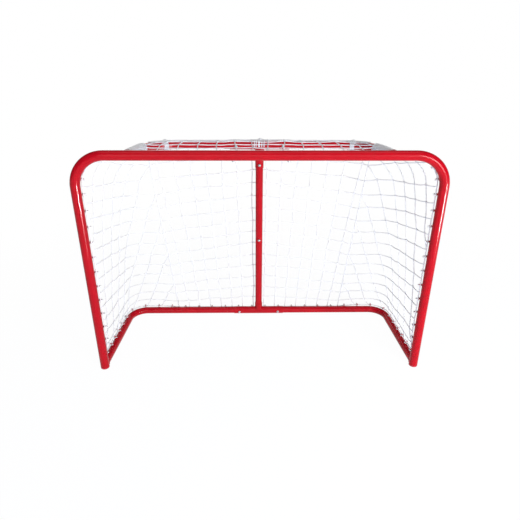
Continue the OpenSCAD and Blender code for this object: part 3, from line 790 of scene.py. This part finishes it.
# %% Weaving
SCATTER = (0.9, 0.9, 1.1)    # how far a knot is out of line, in mm along X, Y and Z
RING_STEP = 6                # mm between a cord's rings
BOW = 0.5                    # mm that a cord bends sideways between two knots
COLUMN_SAG = 0.15
LEAST_SLACK, MOST_SLACK = 0.6, 1.4
KNOT_TURN, KNOT_SMALL, KNOT_LARGE = 0.4, 0.75, 0.95


def weave(bundle, surface, places, rows, columns, rng, turn, sag, loose=1.0):
    """Adds the cords and knots of a net.

    places maps a knot's key to (u, v).  rows and columns are lists of lines; a line is a list
    of keys, (u, v) pairs and points.  turn maps a point to its place in space, sag is the
    rows' drop in mm, and loose scales how far the knots are out of line.
    """
    spots = {}
    for key, (u, v) in places.items():
        shift = Vector([rng.gauss(0, spread) for spread in SCATTER])
        spots[key] = surface(u, v) + shift * loose

    def reach(mark):
        if isinstance(mark, Vector):
            return mark
        return spots[mark] if mark in spots else surface(*mark)

    def uv_of(mark):
        return places.get(mark, mark)

    def run(line, drop):
        points = [reach(line[0])]
        for a, b in zip(line, line[1:]):
            start, end = reach(a), reach(b)
            steps = max(2, round((end - start).length / RING_STEP))
            slack = drop * rng.uniform(LEAST_SLACK, MOST_SLACK)
            bow = rng.gauss(0, BOW)
            ends_known = not (isinstance(a, Vector) or isinstance(b, Vector))
            for i in range(1, steps + 1):
                t = i / steps
                p = mix(start, end, t)
                if ends_known:
                    (ua, va), (ub, vb) = uv_of(a), uv_of(b)
                    on = surface(mix(ua, ub, t), mix(va, vb, t))
                    p += on - mix(surface(ua, va), surface(ub, vb), t)
                hump = 4 * t * (1 - t)
                points.append(p + Vector((0, bow * hump, -slack * hump)))
        bundle.cord([turn(p) for p in points], CORD_R)

    for line in rows:
        run(line, sag)
    for line in columns:
        run(line, COLUMN_SAG)
    for key, spot in spots.items():
        u, v = places[key]
        across = turn(surface(u + 0.01, v)) - turn(surface(u - 0.01, v))
        up = turn(surface(u, v + 0.01)) - turn(surface(u, v - 0.01))
        normal = across.cross(up).normalized()
        place = standing(turn(spot), across.normalized(), normal)
        place = place @ Matrix.Rotation(rng.uniform(-KNOT_TURN, KNOT_TURN), 4, "Z")
        bundle.stamp(KNOT, place @ Matrix.Scale(rng.uniform(KNOT_SMALL, KNOT_LARGE), 4))


# %% [markdown]
# ## Side nets
# The meshes of a side net don't stand upright: its columns lean towards the post on the way
# down, so the front ones end on the post and new ones start at the rear fold.  A column's
# distance from the post is a straight-line rule in its height.

# %% Weave the side nets
COLUMN_PITCH = 33.5
COLUMN_FIRST = 17.0
MOST_COLUMNS = 12
COLUMN_LEAN, LEAN_CHANGE = 0.17, 0.012    # run per rise of the first, and less for each next
LEAN_TOP = 460      # height in mm at which the columns have their pitch
ROW_MIDDLE = 0.4    # where along a row its height is taken
EDGE_ROOM = 0.05    # share of a row that stays free of knots beside its ends
ROW_SAG = 1.2


def row_length(v):
    points = along_edge(lambda u: side_surface(u, v), 12)
    return sum((b - a).length for a, b in zip(points, points[1:]))


def side_columns():
    """For every column the list of its u at each row, from the bottom edge to the top edge."""
    lengths = [row_length(j / ROWS) for j in range(ROWS + 1)]
    heights = [side_surface(ROW_MIDDLE, j / ROWS).z for j in range(ROWS + 1)]
    columns = []
    for k in range(MOST_COLUMNS):
        lean = COLUMN_LEAN - LEAN_CHANGE * k
        marks = []
        for height, length in zip(heights, lengths):
            d = COLUMN_FIRST + COLUMN_PITCH * k - lean * (LEAN_TOP - height)
            marks.append((d - EDGE_START) / length)
        columns.append(marks)
    return columns


def side_netting(name, node_name, seed, turn):
    bundle, rng = Bundle(), random.Random(seed)
    places, rows, columns = {}, [[] for _ in range(ROWS)], []
    for k, marks in enumerate(side_columns()):
        inside = [j for j in range(1, ROWS) if EDGE_ROOM < marks[j] < 1 - EDGE_ROOM]
        if not inside:
            continue
        low, high = inside[0], inside[-1]
        line = [(k, j) for j in inside]
        for j in inside:
            places[(k, j)] = (marks[j], j / ROWS)
            rows[j].append((k, j))
        foot = (clamp(marks[0]), 0.0) if low == 1 else (0.0, (low - 1) / ROWS)
        head = (clamp(marks[ROWS]), 1.0) if high == ROWS - 1 else (1.0, (high + 1) / ROWS)
        columns.append([foot] + line + [head])
    lines = [[(0.0, j / ROWS)] + rows[j] + [(1.0, j / ROWS)] for j in range(1, ROWS)]
    weave(bundle, side_surface, places, lines, columns, rng, turn, ROW_SAG)

    for edge, steps in ((side_front, 90), (side_bottom, 80), (fold_line, 60)):
        bundle.cord([turn(p) for p in along_edge(edge, steps)], BORDER_R, BORDER_SIDES)
    return bundle.piece(name, (node_name,))


side_netting("right_side_netting", "right_side_net", 11, keep)
side_netting("left_side_netting", "left_side_net", 12, flip)

# %% [markdown]
# ## Back net
# The back net hangs from the shelf bar.  Its columns come over the bar from the top net, 35 mm
# apart, and draw together on the way down to the base bar.  The rows are lowest at
# the folds, so they make a wide shallow roof on each side of the centre post.

# %% Weave the back net
BACK_COLUMNS = 7    # on each side of the middle
TOP_FIRST, TOP_PITCH = 17.6, 35.2
LOW_FIRST, LOW_PITCH = 14.0, 28.57
OVER_BAR = range(20, 101, 16)    # degrees, from the rear of the shelf bar to its top
BAR_ROWS = (38, 72, 104)
BAR_ROW_WOBBLE = 0.5
BAR_ROW_LIFT, BAR_KNOT_LIFT, BAR_KNOT_SIZE = 0.6, 0.9, 0.7


def both_sides():
    """Key, number from the middle and side (-1 or 1) of every column of the back or top net."""
    for k in list(range(-BACK_COLUMNS, 0)) + list(range(BACK_COLUMNS)):
        yield (k, k, 1) if k >= 0 else (k, -k - 1, -1)


def bar_knots(bundle, angle):
    """Knots where the columns cross a row that lies on the shelf bar."""
    for step in range(BACK_COLUMNS):
        s = SHELF_MID - TOP_FIRST - TOP_PITCH * step
        out = shelf_path(s)[1]
        for turn in (keep, flip):
            spot = turn(shelf_wrap(s, angle, CORD_R + BAR_KNOT_LIFT))
            normal = turn(tilt_up(angle, out))
            place = standing(spot, turn(out.cross(UP)).normalized(), normal)
            bundle.stamp(KNOT, place @ Matrix.Scale(BAR_KNOT_SIZE, 4))


def back_netting():
    bundle, rng = Bundle(), random.Random(21)
    places, columns = {}, []
    rows = [[] for _ in range(ROWS)]
    for k, step, side in both_sides():
        high = (TOP_FIRST + TOP_PITCH * step) / (SHELF_MID - SHELF_FOLD)
        low = (LOW_FIRST + LOW_PITCH * step) / (BASE_MID - BASE_FOLD)
        line = [(0.5 + side * low / 2, 0.0)]
        for j in range(1, ROWS):
            u = 0.5 + side * mix(low, high, j / ROWS) / 2
            places[(k, j)] = (u, j / ROWS)
            rows[j].append((k, j))
            line.append((k, j))
        line.append((0.5 + side * high / 2, 1.0))
        s = SHELF_MID - TOP_FIRST - TOP_PITCH * step
        over = [shelf_wrap(s, a) for a in OVER_BAR]
        line += over if side > 0 else [flip(p) for p in over]
        columns.append(line)
    lines = [[(0.0, j / ROWS)] + rows[j] + [(1.0, j / ROWS)] for j in range(1, ROWS)]
    weave(bundle, back_surface, places, lines, columns, rng, keep, ROW_SAG)

    bundle.cord(along_edge(back_bottom, 120), BORDER_R, BORDER_SIDES)
    for angle in BAR_ROWS:
        half = along_edge(lambda t: shelf_wrap(mix(SHELF_FOLD, SHELF_MID, t),
                                               angle + rng.gauss(0, BAR_ROW_WOBBLE),
                                               CORD_R + BAR_ROW_LIFT), 40)
        bundle.cord([flip(p) for p in half] + half[-2::-1], CORD_R)
        bar_knots(bundle, angle)
    return bundle.piece("back_netting", ("back_net",))


back_netting()

# %% [markdown]
# ## Top net
# The top net is laced to the hooks behind the crossbar and runs back over the shelf bar.  Its
# rows are the side nets' columns, carried on over the shelf's side tubes.

# %% Weave the top net
TOP_HOOK_GAPS = (11, 40, 80, 120, 160, 200, 222)    # mm from the middle, beside the hooks
TOP_ROW_LENGTHS = (50.5, 84.0, 117.5, 151.0)
REAR_LIMIT = 0.985    # the outermost column stays this near the corner of the net
OVER_SIDE, OVER_SIDE_FIRST = range(5, 120, 18), range(5, 135, 12)    # degrees round the tube
TOP_SAG, TOP_LOOSE = 0.3, 0.4


def top_netting():
    bundle, rng = Bundle(), random.Random(31)
    places, columns = {}, []
    rows = [[] for _ in TOP_ROW_LENGTHS]
    for k, step, side in both_sides():
        rear = min(REAR_LIMIT, (TOP_FIRST + TOP_PITCH * step) / (SHELF_MID - TOP_CORNER))
        front = TOP_HOOK_GAPS[step] / top_edge(0).x
        line = [(0.5 + side * front / 2, 0.0)]
        for j, length in enumerate(TOP_ROW_LENGTHS):
            v = (length - EDGE_START) / (TOP_CORNER - EDGE_START)
            places[(k, j)] = (0.5 + side * mix(front, rear, v) / 2, v)
            rows[j].append((k, j))
            line.append((k, j))
        columns.append(line + [(0.5 + side * rear / 2, 1.0)])
    lines = []
    for j, length in enumerate(TOP_ROW_LENGTHS):
        v = (length - EDGE_START) / (TOP_CORNER - EDGE_START)
        over = [shelf_wrap(length, a) for a in OVER_SIDE]
        lines.append([flip(p) for p in over] + [(0.0, v)] + rows[j] + [(1.0, v)] + over[::-1])
    weave(bundle, top_surface, places, lines, columns, rng, keep, TOP_SAG, TOP_LOOSE)

    bundle.cord(along_edge(top_front, 120), BORDER_R, BORDER_SIDES)
    for turn in (keep, flip):
        bundle.cord([turn(shelf_wrap(COLUMN_FIRST, a)) for a in OVER_SIDE_FIRST], CORD_R)
    return bundle.piece("top_netting", ("top_net",))


top_netting()

# %% [markdown]
# ## Hitches and lashings
# Each hook holds the border cord with a turn of thin line round its shank, and three turns that
# tie the cord to the hook's tip and end in a knot over it.  The net is tied to the shelf bar in
# the middle, over the tee, and once on each bend, and a line is wound round each side tube of the
# shelf.  All of them are slightly uneven, so that they read as tied by hand.

# %% The hooks' places
BAR_HALF = shelf_wrap(EDGE_START, SIDE_WRAP, LATTICE_LIFT).x
BASE_COUNT, REAR_COUNT, BAR_COUNT = 10, 6, 12
BASE_BOW = 10    # mm that the middle hooks of this run sit nearer to the post
BASE_LAST = BASE_FOLD - 1.8
BASE_SHARES = [(k + 0.5) / BASE_COUNT for k in range(BASE_COUNT)]
BASE_HOOKS = [mix(EDGE_START, BASE_LAST, t) - BASE_BOW * math.sin(math.pi * t) ** 2
              for t in BASE_SHARES]
REAR_HOOKS = [mix(BASE_MID, BASE_FOLD, (k + 0.5) / REAR_COUNT) for k in range(REAR_COUNT)]
POST_HOOKS = ([front_length((k + 0.5) / ROWS) for k in range(1, ROWS - CORNER_ROWS)]
              + [front_length(1 - (k + 0.5) / 2 / ROWS) for k in range(2 * CORNER_ROWS)])
BAR_HOOKS = [mix(-1, 1, (k + 0.5) / BAR_COUNT) * BAR_HALF
             for k in range(BAR_COUNT // 2, BAR_COUNT - 1)]


def hook_frames():
    """Centre of the tube, shank and tip directions, foot and bar radius of each right hook."""
    for s in BASE_HOOKS + REAR_HOOKS:
        shank, tip = base_frame(s)
        foot = TEE_R if BASE_MID - s < TEE_HALF else REAR_R
        yield base_path(s)[0], shank, tip, foot, REAR_R
    for s in POST_HOOKS:
        shank, tip = front_frame(s)
        yield front_path(s)[0], shank, tip, MAIN_R, MAIN_R
    for x in BAR_HOOKS:
        yield Vector((x, FRONT_Y, BAR_Z)), BACK, -UP, MAIN_R, MAIN_R


def loop(centre, first, second, a, b, count, rng, wobble):
    """A closed oval of points round a centre."""
    return [centre + first * (a * math.cos(t) + rng.gauss(0, wobble))
            + second * (b * math.sin(t) + rng.gauss(0, wobble))
            for t in [2 * math.pi * i / count for i in range(count)]]


print("hooks:", 2 * len(list(hook_frames())))

# %% Tie the hitches
SHANK_LINE_R, TIP_LINE_R, LINE_SIDES = 0.8, 0.6, 5
END_HEIGHT, END_ASIDE = 6.1, 4.9
END_TURN, END_SMALL, END_LARGE = 0.6, 0.68, 0.8


def shank_turn(centre, shank, tip, radius, rng):
    """One turn of line round the hook's shank, with a slight wave in it."""
    height, aside, long_half, short_half, wave, wobble = HOOK_HOLD - 0.4, 1.5, 4.0, 2.6, 0.5, 0.12
    level = centre + shank * (radius + height) + tip * aside
    ring = loop(level, tip, shank.cross(tip), long_half, short_half, 10, rng, wobble)
    return [p + shank * wave * math.sin(i) for i, p in enumerate(ring)]


def tip_turns(centre, shank, tip, radius):
    """Three turns that hold the border cord to the hook's tip."""
    height, aside, long_half, short_half = 4.4, 3.4, 3.4, 2.3
    count, angle, pitch, start = 27, 0.7, 0.09, -1.2
    held = centre + shank * (radius + height) + tip * aside
    across = shank.cross(tip)
    return [held + shank * long_half * math.cos(i * angle) + tip * short_half * math.sin(i * angle)
            + across * (pitch * i + start) for i in range(count)]


def end_knot(centre, shank, tip, radius, turn, way, rng):
    """Place of the knot over the hook's tip, turned (way is 1 or -1) and sized at random."""
    end = centre + shank * (radius + END_HEIGHT) + tip * END_ASIDE
    place = standing(turn(end), turn(shank.cross(tip)), turn(shank))
    place = place @ Matrix.Rotation(way * rng.uniform(-END_TURN, END_TURN), 4, "Z")
    return place @ Matrix.Scale(rng.uniform(END_SMALL, END_LARGE), 4)


def hitches():
    bundle, rng = Bundle(), random.Random(41)
    for centre, shank, tip, _, radius in hook_frames():
        for turn, way in ((keep, -1), (flip, 1)):
            ring = shank_turn(centre, shank, tip, radius, rng)
            bundle.cord([turn(p) for p in ring], SHANK_LINE_R, LINE_SIDES, True)
            turns = tip_turns(centre, shank, tip, radius)
            bundle.cord([turn(p) for p in turns], TIP_LINE_R, LINE_SIDES)
            bundle.stamp(KNOT, end_knot(centre, shank, tip, radius, turn, way, rng))
    return bundle.piece("hook_hitches")


hitches()

# %% Lash the net to the shelf
LASHING_FROM_MIDDLE = 205
LASHING_KNOT_SIZE = 1.5


def bar_lashing():
    """Six strands laid over the tee, each slanting its own way, with a knot on top."""
    bundle, rng = Bundle(), random.Random(42)
    strands, first_x, pitch, spread, slant_most = 6, -11, 4.1, 0.5, 2.5
    steps, first_angle, angle_step, lift, ripple = 12, -8, 16.5, 2.4, 0.5
    for i in range(strands):
        x = first_x + pitch * i + rng.gauss(0, spread)
        slant = rng.uniform(-slant_most, slant_most)
        arc = []
        for k in range(steps + 1):
            a = math.radians(first_angle + angle_step * k)
            r = TEE_R + lift + ripple * math.sin(3 * a + i)
            arc.append(Vector((x + slant * (k / steps - 0.5), SHELF_Y + r * math.cos(a),
                               SHELF_Z + r * math.sin(a))))
        bundle.cord(arc, CORD_R)
    beside, forward, above = 1.5, 1, 3.6
    knot = Matrix.Translation((beside, SHELF_Y - forward, SHELF_Z + TEE_R + above))
    bundle.stamp(KNOT, knot @ Matrix.Scale(LASHING_KNOT_SIZE, 4))
    return bundle.piece("bar_lashing")


def bend_lashing(name, seed, turn):
    """Four turns side by side round the shelf's bend, with a knot on top."""
    bundle, rng = Bundle(), random.Random(seed)
    middle = SHELF_MID - LASHING_FROM_MIDDLE
    turns, pitch, line_r, wobble, above = 4, 2.9, 1.05, 0.08, 2.6
    ring_r = REAR_R + 1.1
    for i in range(turns):
        centre, out = shelf_path(middle + pitch * (i - (turns - 1) / 2))
        ring = loop(centre, out, UP, ring_r, ring_r, 18, rng, wobble)
        bundle.cord([turn(p) for p in ring], line_r, 6, True)
    knot = Matrix.Translation(turn(shelf_path(middle)[0] + UP * (REAR_R + above)))
    bundle.stamp(KNOT, knot @ Matrix.Scale(LASHING_KNOT_SIZE, 4))
    return bundle.piece(name)


def side_lashing(name, seed, turn):
    """A line wound round a side tube of the shelf, from the crossbar into the bend."""
    bundle, rng = Bundle(), random.Random(seed)
    start, end, turns, steps = 22.0, SHELF_SIDE + 26.0, 26, 14
    unevenness, lift, wobble = 6, 1.0, 0.04
    line = []
    for i in range(turns * steps + 1):
        s = mix(start, end, i / (turns * steps))
        angle = 360 * i / steps + unevenness * math.sin(0.9 * i / steps)
        line.append(turn(shelf_wrap(s, angle, lift + rng.gauss(0, wobble))))
    bundle.cord(line, SHANK_LINE_R, LINE_SIDES)
    return bundle.piece(name)


bar_lashing()
side_lashing("right_side_lashing", 45, keep)
side_lashing("left_side_lashing", 46, flip)
bend_lashing("right_bend_lashing", 43, keep)
bend_lashing("left_bend_lashing", 44, flip)

# %% [markdown]
# ## Welds
# The tubes are welded where they butt: the shelf tubes to the crossbar, the base tubes to the
# posts, the stubs to the tees and every hook to its tube.  A weld bead follows the line where
# two round tubes meet, which is found by sliding along one tube until the other's surface is
# reached.  It is painted over with the rest, and shows small ripples along it.

# %% Lay the weld beads
TUBE_BEAD, TEE_BEAD, HOOK_BEAD = 1.5, 1.2, 0.65
RIPPLE, RIPPLE_STEP, RIPPLE_WOBBLE = 0.14, 2.6, 0.04
HOOK_RING_R, HOOK_RING_LIFT, HOOK_RING_WOBBLE = 1.35, 0.25, 0.08
LOWEST = 1.9    # height of a bead's centre under the base tube, which keeps it off the floor


def meeting_line(start, along, radius, centre, axis, big_radius, count=40):
    """Closed line where a tube from start meets a bigger tube with this centre and axis."""
    first = along.orthogonal().normalized()
    second = along.cross(first)
    line = []
    for i in range(count):
        a = 2 * math.pi * i / count
        p = start + (first * math.cos(a) + second * math.sin(a)) * radius
        q = p - centre
        q -= axis * q.dot(axis)
        d = along - axis * along.dot(axis)
        half, full = q.dot(d), d.dot(d)
        root = math.sqrt(max(0.0, half * half - full * (q.dot(q) - big_radius ** 2)))
        line.append(p + along * ((root - half) / full))
    return line


def add_bead(bundle, line, size, rng):
    """A closed bead whose thickness ripples along it."""
    sizes = [size * (1 + RIPPLE * math.sin(RIPPLE_STEP * i) + rng.gauss(0, RIPPLE_WOBBLE))
             for i in range(len(line))]
    bundle.cord(line, lambda i: sizes[i], 6, True)


def weld_beads():
    bundle, rng = Bundle(), random.Random(51)
    for turn in (keep, flip):
        shelf_start = turn(shelf_path(0)[0])
        shelf_way = turn(shelf_path(1)[0] - shelf_path(0)[0]).normalized()
        shelf_line = meeting_line(shelf_start, shelf_way, REAR_R,
                                  Vector((0, FRONT_Y, BAR_Z)), ACROSS, MAIN_R)
        add_bead(bundle, shelf_line, TUBE_BEAD, rng)
        base_line = meeting_line(turn(base_path(0)[0]), turn(BASE_BACK), REAR_R,
                                 turn(Vector((POST_X, FRONT_Y, 0))), UP, MAIN_R)
        for p in base_line:
            p.z = max(p.z, LOWEST)
        add_bead(bundle, base_line, TUBE_BEAD, rng)
    low, high = Vector((0, BASE_Y, BASE_Z)), Vector((0, SHELF_Y, SHELF_Z))
    post_way = (high - low).normalized()
    for start, way in ((low, post_way), (high, -post_way)):
        add_bead(bundle, meeting_line(start, way, TEE_R, start, ACROSS, TEE_R), TEE_BEAD, rng)

    for centre, shank, tip, foot, _ in hook_frames():
        for turn in (keep, flip):
            level = centre + shank * (foot + HOOK_RING_LIFT)
            ring = loop(level, tip, shank.cross(tip), HOOK_RING_R, HOOK_RING_R, 7, rng,
                        HOOK_RING_WOBBLE)
            bundle.cord([turn(p) for p in ring], HOOK_BEAD, 4, True)
    return bundle.piece("weld_beads", (), enamel, "red_paint")


weld_beads()
